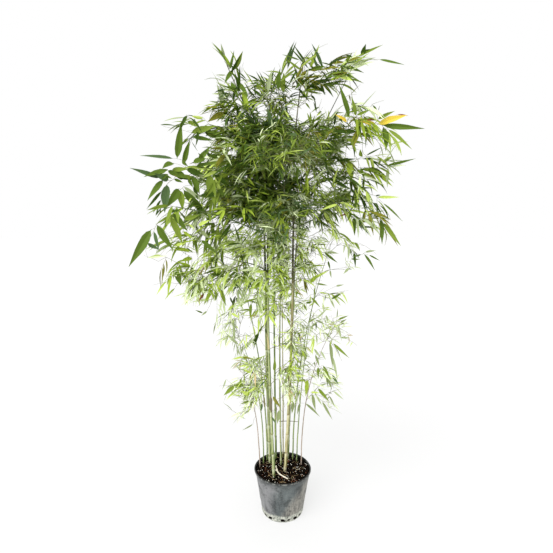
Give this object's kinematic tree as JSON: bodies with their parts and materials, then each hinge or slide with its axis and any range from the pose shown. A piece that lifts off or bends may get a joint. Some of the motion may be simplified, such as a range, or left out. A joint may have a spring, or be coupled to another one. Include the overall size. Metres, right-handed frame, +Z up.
{
  "type": "potted bamboo",
  "caption": "Clump-forming bamboo in a round nursery pot, slender jointed culms bare at the foot under an open leafy head.",
  "frame": {"origin": "centre of the pot's flat underside", "axes": "+Z up along the culms, +X to the right and -Y towards the viewer"},
  "size_m": [1.2149, 1.0768, 2.378],
  "materials": {
    "pot": "dusty dark grey moulded plastic",
    "soil": "rough dark bark and compost",
    "culm": "smooth waxy yellow-green cane",
    "bough": "smooth green side branch",
    "leaves": "satin deep green leaves",
    "pale_leaves": "satin bright yellow-green leaves"
  },
  "bodies": {
    "root": {"bough_back_left": "bough", "bough_back_right": "bough", "bough_left_front": "bough", "bough_left_hanging": "bough", "bough_left_low": "bough", "bough_left_middle": "bough", "bough_right_front": "bough", "bough_right_low": "bough", "bough_right_side": "bough", "bough_shoulder_left": "bough", "culm_back_mid": "culm", "culm_back_right": "culm", "culm_back_tall": "culm", "culm_centre": "culm", "culm_front_tall": "culm", "culm_left_mid": "culm", "culm_left_outer": "culm", "culm_left_short": "culm", "culm_left_tall": "culm", "culm_right_back": "culm", "culm_right_mid": "culm", "culm_right_outer": "culm", "culm_right_tall": "culm", "leaves_arch_right": "leaves", "leaves_back_left": "leaves", "leaves_back_low_left": "pale_leaves", "leaves_back_low_right": "pale_leaves", "leaves_back_lower": "pale_leaves", "leaves_back_middle": "leaves", "leaves_back_right": "leaves", "leaves_back_upper": "leaves", "leaves_centre_low": "pale_leaves", "leaves_centre_middle": "pale_leaves", "leaves_core_middle": "leaves", "leaves_core_right": "leaves", "leaves_core_right_low": "leaves", "leaves_core_upper": "leaves", "leaves_front_middle": "leaves", "leaves_front_upper": "leaves", "leaves_left_bottom": "pale_leaves", "leaves_left_front": "leaves", "leaves_left_hanging": "leaves", "leaves_left_low": "pale_leaves", "leaves_left_lower": "pale_leaves", "leaves_left_middle": "leaves", "leaves_middle_left": "pale_leaves", "leaves_middle_right": "pale_leaves", "leaves_right_front": "leaves", "leaves_right_hanging": "pale_leaves", "leaves_right_low": "leaves", "leaves_right_lower": "pale_leaves", "leaves_right_side": "leaves", "leaves_shoulder_left": "leaves", "leaves_top_left": "leaves", "leaves_top_middle": "leaves", "leaves_top_right": "leaves", "leaves_tuft_left": "leaves", "leaves_tuft_middle": "leaves", "pot": "pot", "soil": "soil"}
  },
  "joints": []
}
